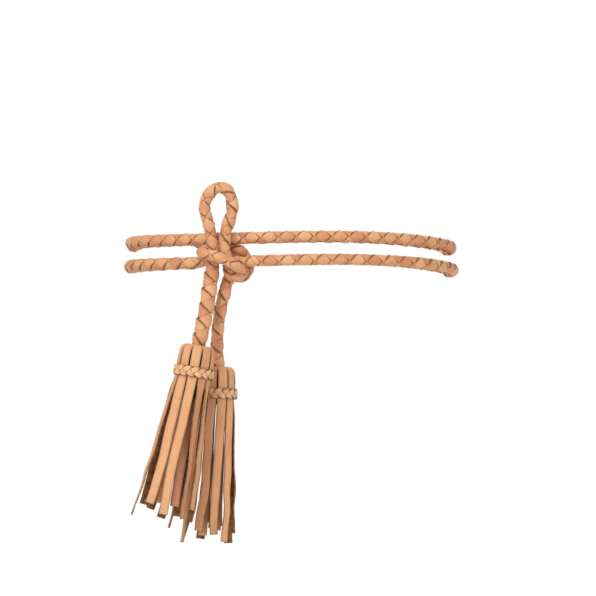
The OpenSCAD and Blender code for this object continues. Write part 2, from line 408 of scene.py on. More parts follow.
def carried_frame(points: Array) -> tuple[Array, Array]:
    """Side and up vectors carried along a line without twisting.

    Args:
        points: the line's points, close together.

    Returns:
        Two arrays of unit vectors, square to the line and to each other.
    """
    tangents = units(np.gradient(points, axis=0))
    side = np.empty_like(points)
    current = np.array([0.1, 1.0, 0.05])
    for i, t in enumerate(tangents):
        current = current - (current @ t) * t
        current /= np.linalg.norm(current)
        side[i] = current
    return side, np.cross(tangents, side)


# ---- mesh helpers ----

class Side(Enum):
    """Which surface of a lace a face is on: its value is the material's index."""

    GRAIN = 0
    FLESH = 1
    EDGE = 2


@dataclass
class Section:
    """A lace's closed section: place across it and height, as shares of width and thickness."""

    across: Array
    height: Array
    faces: list[Side]

    @staticmethod
    def crowned() -> "Section":
        """A soft lace pressed into a braid: rounded outside, flat inside.

        Returns:
            The section.
        """
        across = [-1, -0.88, -0.6, -0.2, 0.2, 0.6, 0.88, 1, 0.8, 0.25, -0.25, -0.8]
        height = [-0.05, 0.32, 0.45, 0.5, 0.5, 0.45, 0.32, -0.05, -0.5, -0.5, -0.5, -0.5]
        faces = [Side.EDGE] + [Side.GRAIN] * 5 + [Side.EDGE] + [Side.FLESH] * 5
        return Section(np.array(across, float), np.array(height, float), faces)

    @staticmethod
    def flat() -> "Section":
        """A flat strap lace with square cut edges, slightly rounded.

        Returns:
            The section.
        """
        across = [-1, -0.95, -0.5, 0, 0.5, 0.95, 1, 1, 0.95, 0.5, 0, -0.5, -0.95, -1]
        height = [0.36, 0.5, 0.5, 0.5, 0.5, 0.5, 0.36, -0.36, -0.5, -0.5, -0.5, -0.5, -0.5, -0.36]
        faces = ([Side.GRAIN] * 6 + [Side.EDGE] + [Side.FLESH] * 6 + [Side.EDGE])
        return Section(np.array(across, float), np.array(height, float), faces)


def lace_values(across: object, along: Array, number: float, tone: object, dive: object,
                edge: object = 0.0) -> dict[str, object]:
    """What the materials know of each ring point: one number, row or column for each value.

    Args:
        across: distance across the lace, in metres.
        along: distance along it, in metres.
        number: the lace's own number.
        tone: its tone, from 0 for warm to 1 for pale.
        dive: how far it lies under its neighbours, from 0 to 1, painted as shade.
        edge: how near its edge the point is, from 0 to 1, painted as shade.

    Returns:
        The values by the names of the mesh's attributes.
    """
    def column(values: object) -> object:
        """One value for each ring, stood up as a column."""
        return values[:, None] if np.ndim(values) == 1 else values
    return {"lace_across": across, "lace_along": column(along), "lace_number": float(number),
            "lace_tone": column(tone), "lace_dive": column(dive), "lace_edge": edge}


@dataclass
class Mesh:
    """Swept laces gathered into one mesh, with their values for the materials."""

    points: list[Array] = field(default_factory=list)
    faces: list[tuple[int, ...]] = field(default_factory=list)
    indices: list[int] = field(default_factory=list)
    values: dict[str, list[Array]] = field(default_factory=dict)
    count: int = 0

    def add(self, rings: Array, sides: list[Side], values: dict[str, Array]) -> None:
        """Adds a closed tube.

        Args:
            rings: points of each ring, as (rings, points in a ring, 3).
            sides: which side of the lace the face after each ring point is on.
            values: for each material value, one number for each ring point.
        """
        n, m, _ = rings.shape
        base = self.count
        for i in range(n - 1):
            for k in range(m):
                a, b = base + i * m + k, base + i * m + (k + 1) % m
                self.faces.append((a, b, b + m, a + m))
                self.indices.append(sides[k].value)
        self.faces.append(tuple(base + k for k in reversed(range(m))))
        self.faces.append(tuple(base + (n - 1) * m + k for k in range(m)))
        self.indices += [Side.EDGE.value] * 2
        self.points.append(rings.reshape(-1, 3))
        for name, v in values.items():
            self.values.setdefault(name, []).append(np.broadcast_to(v, (n, m)).reshape(-1))
        self.count += n * m

    def build(self, name: str, materials: Materials) -> Object:
        """Makes the Blender object.

        Args:
            name: the piece's name.
            materials: grain side, flesh side and cut edge, in that order.

        Returns:
            The linked object, smooth shaded, with its outward faces turned out.
        """
        mesh = bpy.data.meshes.new(name)
        mesh.from_pydata(np.vstack(self.points).tolist(), [], self.faces)
        for material in materials:
            mesh.materials.append(material)
        mesh.polygons.foreach_set("material_index", np.minimum(self.indices, len(materials) - 1))
        mesh.polygons.foreach_set("use_smooth", np.ones(len(mesh.polygons), bool))
        for key, parts in self.values.items():
            attribute = mesh.attributes.new(key, "FLOAT", "POINT")
            attribute.data.foreach_set("value", np.concatenate(parts).astype(np.float32))
        turned_out(mesh)
        return linked(name, mesh)


def linked(name: str, data: bpy.types.ID) -> Object:
    """A new object in the scene.

    Args:
        name: the object's name.
        data: its mesh, camera or lamp.

    Returns:
        The object.
    """
    obj = bpy.data.objects.new(name, data)
    bpy.context.scene.collection.objects.link(obj)
    return obj


def turned_out(mesh: bpy.types.Mesh) -> None:
    """Turns a mesh's faces so that its volume is positive.

    Args:
        mesh: the closed mesh to turn.
    """
    solid = bmesh.new()
    solid.from_mesh(mesh)
    if solid.calc_volume(signed=True) < 0:
        mesh.flip_normals()
    solid.free()
    mesh.update()


def waves(seed: int, values: Array, scales: tuple[float, ...]) -> Array:
    """Smooth seeded noise along a length, from about -1 to 1.

    Args:
        seed: which noise it is.
        values: distances along the length, in metres.
        scales: wavelengths in metres, the first the strongest.

    Returns:
        One number for each distance.
    """
    rng = np.random.default_rng(seed)
    total = np.zeros_like(values, dtype=float)
    for k, scale in enumerate(scales):
        phase, wobble = rng.uniform(0, 2 * math.pi, 2)
        turn = 2 * math.pi * values / scale
        total += np.sin(turn + phase + 1.3 * np.sin(0.37 * turn + wobble)) / (k + 1.4)
    return total


# ---- shader groups ----

def group(name: str, inputs: dict[str, str], outputs: dict[str, str]) -> Tree:
    """An empty shader node group with named sockets.

    Args:
        name: the group's name.
        inputs: socket name to kind, Float, Color or Vector.
        outputs: the same for what it puts out.

    Returns:
        The node tree, with its group input and output nodes in place.
    """
    tree = bpy.data.node_groups.new(name, "ShaderNodeTree")
    for sockets, in_out in ((inputs, "INPUT"), (outputs, "OUTPUT")):
        for socket, kind in sockets.items():
            tree.interface.new_socket(socket, in_out=in_out, socket_type=f"NodeSocket{kind}")
    tree.nodes.new("NodeGroupInput").name = "In"
    tree.nodes.new("NodeGroupOutput").name = "Out"
    return tree


def node(tree: Tree, kind: str, **settings: object) -> bpy.types.Node:
    """A new node with its properties set.

    Args:
        tree: the node tree it goes in.
        kind: the node's type.
        settings: its properties by name.

    Returns:
        The node.
    """
    made = tree.nodes.new(kind)
    for key, value in settings.items():
        setattr(made, key, value)
    return made


def link(tree: Tree, source: object, target: object) -> None:
    """Joins an output socket, or sets a plain value, on an input socket.

    Args:
        tree: the node tree of both.
        source: an output socket or a plain value.
        target: the input socket.
    """
    if isinstance(source, Socket):
        tree.links.new(source, target)
    else:
        target.default_value = source


def maths(tree: Tree, operation: str, *values: object) -> Socket:
    """The result of a Math node on sockets or numbers.

    Args:
        tree: the node tree it goes in.
        operation: what the node works out.
        values: its sockets or numbers, in order.

    Returns:
        The result's socket.
    """
    made = node(tree, "ShaderNodeMath", operation=operation)
    for socket, value in zip(made.inputs, values):
        link(tree, value, socket)
    return made.outputs[0]


def times(tree: Tree, a: object, b: object) -> Socket:
    """The product of two sockets or numbers."""
    return maths(tree, "MULTIPLY", a, b)


def lace_value(tree: Tree, name: str) -> Socket:
    """One of the laces' own values, as the meshes carry them."""
    return node(tree, "ShaderNodeAttribute", attribute_name=f"lace_{name}").outputs["Fac"]


def mixed(tree: Tree, factor: object, a: object, b: object) -> Socket:
    """The result of mixing two colours.

    Args:
        tree: the node tree it goes in.
        factor: the share of the second colour.
        a: the first colour.
        b: the second colour.

    Returns:
        The mixed colour's socket.
    """
    made = node(tree, "ShaderNodeMix", data_type="RGBA")
    link(tree, factor, made.inputs[0])
    link(tree, a, made.inputs[6])
    link(tree, b, made.inputs[7])
    return made.outputs[2]


def ramp(tree: Tree, value: object, low: float, high: float) -> Socket:
    """Value mapped from low..high to 0..1, clamped and smooth.

    Args:
        tree: the node tree it goes in.
        value: a socket or number.
        low: the value that becomes 0.
        high: the value that becomes 1.

    Returns:
        The mapped value's socket.
    """
    made = node(tree, "ShaderNodeMapRange", interpolation_type="SMOOTHSTEP")
    link(tree, value, made.inputs["Value"])
    made.inputs["From Min"].default_value = low
    made.inputs["From Max"].default_value = high
    return made.outputs["Result"]


def noise(tree: Tree, vector: object, scale: object, detail: float,
          roughness: float = 0.5) -> Socket:
    """A noise texture's factor.

    Args:
        tree: the node tree it goes in.
        vector: where the texture is read.
        scale: how fine it is.
        detail: how many finer layers it has.
        roughness: how strong the finer layers are.

    Returns:
        The factor's socket.
    """
    made = node(tree, "ShaderNodeTexNoise")
    link(tree, vector, made.inputs["Vector"])
    link(tree, scale, made.inputs["Scale"])
    made.inputs["Detail"].default_value = detail
    made.inputs["Roughness"].default_value = roughness
    return made.outputs[0]


def lace_space_group() -> Tree:
    """Texture coordinates that stay on each lace: across, along and the lace's own number.

    Returns:
        The group, with Stretch in and Vector out.
    """
    tree = group("Lace Space", {"Stretch": "Float"}, {"Vector": "Vector"})
    entry, out = tree.nodes["In"].outputs, tree.nodes["Out"]
    joined = node(tree, "ShaderNodeCombineXYZ")
    link(tree, lace_value(tree, "across"), joined.inputs[0])
    shorter = maths(tree, "DIVIDE", lace_value(tree, "along"), entry["Stretch"])
    link(tree, shorter, joined.inputs[1])
    link(tree, times(tree, lace_value(tree, "number"), 0.37), joined.inputs[2])
    link(tree, joined.outputs[0], out.inputs["Vector"])
    return tree


def lace_tone_group() -> Tree:
    """Colour of a natural lace: its own tone, cloudy patches and darker flecks.

    Returns:
        The group, with three colours, Vector and two amounts in, and Color out.
    """
    tree = group("Lace Tone", {"Warm": "Color", "Pale": "Color", "Dark": "Color",
                               "Vector": "Vector", "Patches": "Float", "Flecks": "Float"},
                 {"Color": "Color"})
    entry, out = tree.nodes["In"].outputs, tree.nodes["Out"]
    tone = lace_value(tree, "tone")
    cloud = noise(tree, entry["Vector"], 130.0, 3.0)
    shift = times(tree, maths(tree, "SUBTRACT", cloud, 0.5), entry["Patches"])
    colour = mixed(tree, ramp(tree, maths(tree, "ADD", tone, shift), 0.0, 1.0),
                   entry["Warm"], entry["Pale"])
    fleck = ramp(tree, noise(tree, entry["Vector"], 900.0, 4.0, 0.7), 0.52, 0.72)
    colour = mixed(tree, times(tree, fleck, entry["Flecks"]), colour, entry["Dark"])
    link(tree, colour, out.inputs["Color"])
    return tree


def crease_shade_group() -> Tree:
    """Paints shade into a colour where a lace dives under its neighbours and along its edges.

    Returns:
        The group, with two colours and two amounts in, and Color and Depth out.
    """
    tree = group("Lace Crease Shade", {"Color": "Color", "Shade": "Color", "Dive": "Float",
                                 "Edge": "Float"}, {"Color": "Color", "Depth": "Float"})
    entry, out = tree.nodes["In"].outputs, tree.nodes["Out"]
    dive = lace_value(tree, "dive")
    across = lace_value(tree, "edge")
    # painted shade, by how far the lace dives and how near its edge it is
    deep = times(tree, ramp(tree, dive, 0.18, 0.85), entry["Dive"])
    edge = times(tree, ramp(tree, across, 0.66, 0.86), entry["Edge"])
    depth = maths(tree, "MAXIMUM", deep, edge)
    link(tree, mixed(tree, depth, entry["Color"], entry["Shade"]), out.inputs["Color"])
    link(tree, depth, out.inputs["Depth"])
    return tree


def grain_group() -> Tree:
    """Height and roughness of smooth-grained leather: pores, fine creases, soft waves.

    Returns:
        The group, with Vector, amounts and roughness in, and Height and Roughness out.
    """
    tree = group("Leather Grain", {"Vector": "Vector", "Pores": "Float", "Wrinkles": "Float",
                                   "Base Roughness": "Float", "Spread": "Float"},
                 {"Height": "Float", "Roughness": "Float"})
    entry, out = tree.nodes["In"].outputs, tree.nodes["Out"]
    cells = node(tree, "ShaderNodeTexVoronoi", feature="DISTANCE_TO_EDGE")
    link(tree, entry["Vector"], cells.inputs["Vector"])
    cells.inputs["Scale"].default_value = 1500.0
    pores = times(tree, ramp(tree, cells.outputs["Distance"], 0.0, 0.25), entry["Pores"])
    wrinkle = times(tree, noise(tree, entry["Vector"], 420.0, 5.0, 0.6), entry["Wrinkles"])
    link(tree, maths(tree, "ADD", pores, wrinkle), out.inputs["Height"])
    uneven = maths(tree, "SUBTRACT", noise(tree, entry["Vector"], 260.0, 4.0), 0.5)
    rough = times(tree, uneven, entry["Spread"])
    link(tree, maths(tree, "ADD", entry["Base Roughness"], rough), out.inputs["Roughness"])
    return tree


def nap_group() -> Tree:
    """Colour factor and height of a rough flesh side: short loose fibres in clumps.

    Returns:
        The group, with Vector and Amount in, and Factor and Height out.
    """
    tree = group("Flesh Nap", {"Vector": "Vector", "Amount": "Float"},
                 {"Factor": "Float", "Height": "Float"})
    entry, out = tree.nodes["In"].outputs, tree.nodes["Out"]
    fibres = noise(tree, entry["Vector"], 1400.0, 6.0, 0.75)
    clumps = noise(tree, entry["Vector"], 340.0, 3.0)
    both = times(tree, fibres, maths(tree, "ADD", clumps, 0.4))
    link(tree, ramp(tree, both, 0.28, 0.62), out.inputs["Factor"])
    link(tree, times(tree, both, entry["Amount"]), out.inputs["Height"])
    return tree


@dataclass
class Groups:
    """The shader node groups, each built once and shared by the finishes."""

    space: Tree = field(default_factory=lace_space_group)
    tone: Tree = field(default_factory=lace_tone_group)
    crease_shade: Tree = field(default_factory=crease_shade_group)
    grain: Tree = field(default_factory=grain_group)
    nap: Tree = field(default_factory=nap_group)


def srgb(red: int, green: int, blue: int) -> Colour:
    """A linear colour from 0 to 255 display values.

    Args:
        red: red, from 0 to 255.
        green: green, from 0 to 255.
        blue: blue, from 0 to 255.

    Returns:
        The colour with an alpha of 1.
    """
    def linear(value: int) -> float:
        """One channel as light."""
        v = value / 255
        return v / 12.92 if v <= 0.04045 else ((v + 0.055) / 1.055) ** 2.4
    return (linear(red), linear(green), linear(blue), 1.0)


def placed_group(tree: Tree, shared: Tree,
                 values: dict[str, object]) -> bpy.types.Node:
    """Places a shared group in a material with its own values.

    Args:
        tree: the material's node tree.
        shared: the group.
        values: a socket or plain value for each of its inputs, by name.

    Returns:
        The group's node.
    """
    made = node(tree, "ShaderNodeGroup", node_tree=shared)
    for name, value in values.items():
        link(tree, value, made.inputs[name])
    return made


def leather(name: str, wire: Callable[[Tree], dict[str, object]], distance: float,
            specular: float) -> bpy.types.Material:
    """A leather material.

    Args:
        name: the material's name.
        wire: makes its nodes in the tree, and says what feeds Base Color and Roughness and
            the bump's Height and Strength.
        distance: the bump's distance in metres.
        specular: how strongly it mirrors.

    Returns:
        The material.
    """
    material = bpy.data.materials.new(name)
    material.use_nodes = True
    tree = material.node_tree
    shader = tree.nodes["Principled BSDF"]
    bump = node(tree, "ShaderNodeBump")
    bump.inputs["Distance"].default_value = distance
    for socket, source in wire(tree).items():
        link(tree, source, (bump if socket in bump.inputs else shader).inputs[socket])
    link(tree, bump.outputs["Normal"], shader.inputs["Normal"])
    shader.inputs["Specular IOR Level"].default_value = specular
    return material


@dataclass(frozen=True)
class GrainFinish:
    """The smooth outer side of a natural lace."""

    name: str
    warm: Colour
    pale: Colour
    dark: Colour
    # painted shade: its colour, and how strongly it is painted where the lace dives and along its
    # edges
    crease_shade: Colour
    dive: float = 0.85
    edge: float = 0.45
    roughness: float = 0.52
    bump: float = 0.35
    stretch: float = 2.2
    flecks: float = 0.22

    def make(self, groups: Groups) -> bpy.types.Material:
        """Builds the material from the shared groups.

        Args:
            groups: the shared node groups.

        Returns:
            The material.
        """
        def wire(tree: Tree) -> dict[str, object]:
            """The nodes, and what each socket gets.

            Args:
                tree: the material's node tree.

            Returns:
                What feeds each socket of the shader or the bump, by the socket's name.
            """
            space = placed_group(tree, groups.space, {"Stretch": self.stretch}).outputs["Vector"]
            tone = placed_group(tree, groups.tone, {
                "Warm": self.warm, "Pale": self.pale, "Dark": self.dark, "Vector": space,
                "Patches": 1.1, "Flecks": self.flecks})
            # painted shade where the lace dives under its neighbours and along its edges
            crease_shade = placed_group(tree, groups.crease_shade, {
                "Color": tone.outputs["Color"], "Shade": self.crease_shade, "Dive": self.dive,
                "Edge": self.edge})
            grain = placed_group(tree, groups.grain, {
                "Vector": space, "Pores": 0.25, "Wrinkles": 1.0,
                "Base Roughness": self.roughness, "Spread": 0.3})
            return {"Base Color": crease_shade.outputs["Color"], "Height": grain.outputs["Height"],
                    "Roughness": grain.outputs["Roughness"], "Strength": self.bump}
        return leather(self.name, wire, 0.0004, 0.35)


@dataclass(frozen=True)
class FleshFinish:
    """The rough inner side or the cut edge of a lace."""

    name: str
    light: Colour
    # deep is both the fibres' dark colour and the painted shade colour
    deep: Colour
    nap: float = 1.0
    roughness: float = 0.85

    def make(self, groups: Groups) -> bpy.types.Material:
        """Builds the material from the shared groups.

        Args:
            groups: the shared node groups.

        Returns:
            The material.
        """
        def wire(tree: Tree) -> dict[str, object]:
            """The nodes, and what each socket gets.

            Args:
                tree: the material's node tree.

            Returns:
                What feeds each socket of the shader or the bump, by the socket's name.
            """
            space = placed_group(tree, groups.space, {"Stretch": 1.6}).outputs["Vector"]
            nap = placed_group(tree, groups.nap, {"Vector": space, "Amount": self.nap})
            colour = mixed(tree, nap.outputs["Factor"], self.deep, self.light)
            # painted shade towards the deep colour where the lace dives and along its edges
            crease_shade = placed_group(tree, groups.crease_shade, {
                "Color": colour, "Shade": self.deep, "Dive": 0.8, "Edge": 0.2})
            return {"Base Color": crease_shade.outputs["Color"], "Height": nap.outputs["Height"],
                    "Roughness": self.roughness, "Strength": 0.7}
        return leather(self.name, wire, 0.0006, 0.15)


# ---- the braided cord ----

@dataclass
class RoundBraid:
    """A round braid of four flat laces, two wound each way, over one and under one."""

    line: CordLine
    diameter: float = 0.0098
    turn: float = 0.0275
    lace_width: float = 0.0094
    lace_thickness: float = 0.0015
    weave: float = 0.00078
    squareness: float = 3.0
    shingle: float = -0.0003
    proud: float = 0.00024
    slack: float = 0.12
    # share of the painted edge shade that the even laces get
    quiet_edge_shade: float = 0.5
    filling_radius: float = 0.002758
    filling_sides: int = 8
    tones: tuple[float, ...] = (0.25, 0.7, 0.6, 0.4)
    section: Section = field(default_factory=Section.crowned)

    def build(self, name: str, start: float, end: float,
              materials: Materials) -> Object:
        """Braids the cord between two distances along its line.

        Args:
            name: the piece's name.
            start: distance along the cord where the piece starts, in metres.
            end: distance where it ends.
            materials: grain side, flesh side and cut edge.

        Returns:
            The piece: four laces and the filling, dark with painted shade, that they close on.
        """
        mesh = Mesh()
        count = max(8, round((end - start) / self.line.step))
        along = np.linspace(start, end, count)
        for lace in range(4):
            self.add_lace(mesh, along, lace)
        self.add_filling(mesh, along)
        return mesh.build(name, materials)

    def add_lace(self, mesh: Mesh, along: Array, lace: int) -> None:
        """Adds one lace of the braid.

        Args:
            mesh: the mesh it is added to.
            along: distances along the cord, in metres.
            lace: its number, 0 to 3; odd ones wind the other way.
        """
        winding = 1 if lace % 2 == 0 else -1
        radius = self.diameter / 2 - self.weave - self.lace_thickness / 2
        slope = math.atan2(2 * math.pi * radius, self.turn)
        u = self.section.across[None, :] * self.lace_width / 2
        place = along[:, None] - winding * u * math.sin(slope)
        place = np.clip(place, self.line.along[0], self.line.along[-1])
        turn = 2 * math.pi * along / self.turn
        beat = np.cos(2 * turn)
        beat = winding * np.tanh(self.squareness * beat) / math.tanh(self.squareness)
        slack = self.slack * waves(70 + lace, along, (0.031, 0.012))
        rise = (self.weave * (beat + slack) - winding * self.proud)[:, None]
        height = self.section.height[None, :] * self.lace_thickness
        height = height + self.shingle * self.section.across[None, :] * winding
        reach = radius + rise + height
        roll = self.line.value(self.line.roll, along)
        angle = (winding * turn + (lace // 2) * math.pi + roll)[:, None]
        angle = angle + u * math.cos(slope) / radius
        centre, side, up, full = self.line.sample(place)
        rings = centre + (reach * full)[..., None] * round_about(angle, side, up)
        top = self.diameter / 2
        # how far the lace lies under its neighbours, painted as shade by the materials
        dive = np.clip((top - reach) / (2 * self.weave + 0.2 * self.lace_thickness), 0, 1)
        tone = self.tones[lace] + 0.22 * waves(90 + lace, along, (0.083, 0.034, 0.013))
        # painted shade along the lace edges, weaker on the even laces
        edge = np.abs(self.section.across) * (1.0 if winding < 0 else self.quiet_edge_shade)
        mesh.add(rings, self.section.faces, lace_values(u, along, lace + 1, tone, dive, edge))

    def add_filling(self, mesh: Mesh, along: Array) -> None:
        """Adds the laces' inner folds: a round filling, in painted shade, closing the braid's
        middle.

        Args:
            mesh: the mesh it is added to.
            along: distances along the cord, in metres.
        """
        sparse = along[::3]
        angle = np.arange(self.filling_sides)[None, :] * 2 * math.pi / self.filling_sides
        centre, side, up, full = self.line.sample(sparse[:, None])
        rings = centre + (self.filling_radius * full)[..., None] * round_about(angle, side, up)
        # a dive of 1 paints the filling in full shade
        mesh.add(rings, [Side.FLESH] * self.filling_sides,
                 lace_values(0.0, sparse, 9, 0.3, 1.0))


@dataclass
class BraidedCord:
    """The belt's cord: the waist turns, the knot, the bow loop and the two tails."""

    line: CordLine
    braid: RoundBraid
    materials: Materials
    bow_hinge: tuple[float, float, float] = (0.0, -0.0145, 0.016)
    bow_bend: tuple[float, float] = (0.006, 0.008)
    tail_bend: tuple[float, float] = (0.0063, 0.0126)
    neck_bend: tuple[float, float] = (0.009, 0.003)
    neck_cut: float = 0.0095
    leg_cut: float = 0.004
    root_cut: float = 0.008

    WAIST_NODES = ("waist_turn_lower_right", "waist_turn_lower_back", "waist_crossing_outer",
                   "waist_turn_upper_left", "waist_turn_upper_front", "waist_turn_upper_right",
                   "waist_turn_upper_back", "waist_crossing_inner", "waist_turn_lower_left")
    KNOT_FIRST_NODES = ("knot_tuck", "knot_right_lobe", "knot_rear_pass")
    KNOT_LAST_NODES = ("knot_rear_wrap", "knot_left_bend", "knot_front_band", "knot_tail_root")

    def piece(self, name: str, start: float, end: float, nodes: tuple[str, ...]) -> Object:
        """Braids one stretch, which stands for its CAD nodes.

        Args:
            name: the piece's name.
            start: where it begins along the cord, in metres.
            end: where it ends, in metres.
            nodes: the CAD nodes that it stands for.

        Returns:
            The piece.
        """
        obj = self.braid.build(name, start, end, self.materials)
        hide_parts(*nodes)
        log.info("cord piece %s: %.3f m", name, end - start)
        return obj

    def declare(self, start: float, end: float) -> None:
        """Works out a stretch's start and centreline points, and keeps neither.

        Args:
            start: where it begins along the cord, in metres.
            end: where it ends, in metres.
        """
        tuple(self.line.centre(start))
        self.line.path(*sorted((start, end)))

    def build(self) -> dict[str, Object]:
        """Returns:
            The pieces by name.
        """
        marks = self.line.marks
        loop_a, loop_b = marks[Stretch.LOOP]
        left_cut, right_cut = loop_a - self.leg_cut, loop_b + self.leg_cut
        tail_a_low, tail_a_top = marks[Stretch.TAIL_A]
        waist_a, waist_b = marks[Stretch.WAIST]
        tail_b_top, tail_b_low = marks[Stretch.TAIL_B]
        root_cut = tail_b_top - self.root_cut
        made = {}
        made["waist"] = self.piece("waist_turns", waist_a, waist_b, self.WAIST_NODES)
        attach(made["waist"], "waist_wrap")
        self.declare(waist_a, waist_b)
        for name, start, end, nodes in (
                ("knot_first_part", right_cut, waist_a, self.KNOT_FIRST_NODES),
                ("knot_last_part", waist_b, root_cut, self.KNOT_LAST_NODES)):
            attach(self.piece(name, start, end, nodes), "waist_wrap")
        made["bow"] = self.piece("bow_loop_braid", left_cut, right_cut, ("bow_loop",))
        hinge = Vector(self.line.waist.knot_centre() * MM) + Vector(self.bow_hinge)
        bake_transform(made["bow"])
        self.declare(left_cut, right_cut)
        made["tail_a"] = self.tail("tail_a", left_cut, tail_a_low + self.neck_cut,
                                   tail_a_top, ("knot_left_leg", "tail_a"))
        made["neck_a"] = self.neck("tail_a", "tassel_a", 0.0, tail_a_low + self.neck_cut,
                                   tail_a_low)
        made["tail_b"] = self.tail("tail_b", root_cut, tail_b_low - self.neck_cut, tail_b_top,
                                   ("tail_b",))
        made["neck_b"] = self.neck("tail_b", "tassel_b", float(self.line.along[-1]),
                                   tail_b_low - self.neck_cut, tail_b_low)
        return made

    def tail(self, body: str, start: float, end: float, pivot: float,
             nodes: tuple[str, ...]) -> Object:
        """One tail, from the knot down to its tassel's neck.

        Args:
            body: the tail's body.
            start: where it leaves the knot along the cord, in metres.
            end: where the tassel's neck begins, in metres.
            pivot: where it would bend, in metres; it is not bent.
            nodes: the CAD nodes that it stands for.

        Returns:
            The piece.
        """
        obj = self.piece(f"{body}_braid", min(start, end), max(start, end), nodes)
        self.bend(obj, pivot, 1 if end > start else -1, self.tail_bend)
        return obj

    def neck(self, body: str, tassel: str, inner: float, outer: float, pivot: float) -> Object:
        """The cord's end from its tail into the tassel's head.

        Args:
            body: the tail's body.
            tassel: the tassel's body.
            inner: the cord's own end along it, in metres.
            outer: where the tail ends, in metres.
            pivot: where it would bend, in metres; it is not bent.

        Returns:
            The piece.
        """
        obj = self.piece(f"{tassel}_neck_braid", min(inner, outer), max(inner, outer),
                         (f"{tassel}_neck_cord",))
        self.bend(obj, pivot, 1 if inner > outer else -1, self.neck_bend)
        return obj

    def bend(self, obj: Object, pivot: float, down: int,
             reach: tuple[float, float]) -> None:
        """Bakes the piece's placement into its mesh; the points round its pivot go unused."""
        self.line.centre(pivot - down * reach[0])
        self.line.centre(pivot + down * reach[1])
        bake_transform(obj)


# ---- tassels ----

@dataclass(frozen=True)
class Fringe:
    """How one lace of a tassel hangs below the neck ring, in metres and degrees."""

    turned: float = 0.0
    twist: float = 0.0
    outward: float = 0.0
    sideways: float = 0.0
    curl: float = 0.0
    tone: float = 0.5

    @staticmethod
    def loose(rng: np.random.Generator) -> "Fringe":
        """A lace that hangs as it falls."""
        spans = ((-25, 25), (-50, 50), (-0.4, 0.6), (-1.2, 1.2), (-0.001, 0.002), (0.05, 0.45))
        return Fringe(*[rng.uniform(low, high) for low, high in spans])


# The laces that are seen best, by tassel and number round the head
FRINGES = {
    "tassel_a": {4: Fringe(30, 20, tone=0.2), 5: Fringe(40, 25, -3.2, tone=0.25),
                 6: Fringe(0, 12, 0.2, tone=0.75), 7: Fringe(-34, 6, 0.4, tone=0.8),
                 8: Fringe(4, -14, 0, 0.4, tone=0.9), 9: Fringe(-22, -18, 0, 3.6, tone=0.5),
                 10: Fringe(-8, 20, 0, 1.5, tone=0.65)},
    "tassel_b": {1: Fringe(-15, -20, -1.8, tone=0.6), 6: Fringe(0, -15, 3, tone=0.4),
                 7: Fringe(-10, 24, 1.0, tone=0.6), 8: Fringe(-12, 20, tone=0.85),
                 9: Fringe(14, -22, 0, 0.8, tone=0.7), 10: Fringe(12, -8, 0, -0.9, tone=0.8)}}


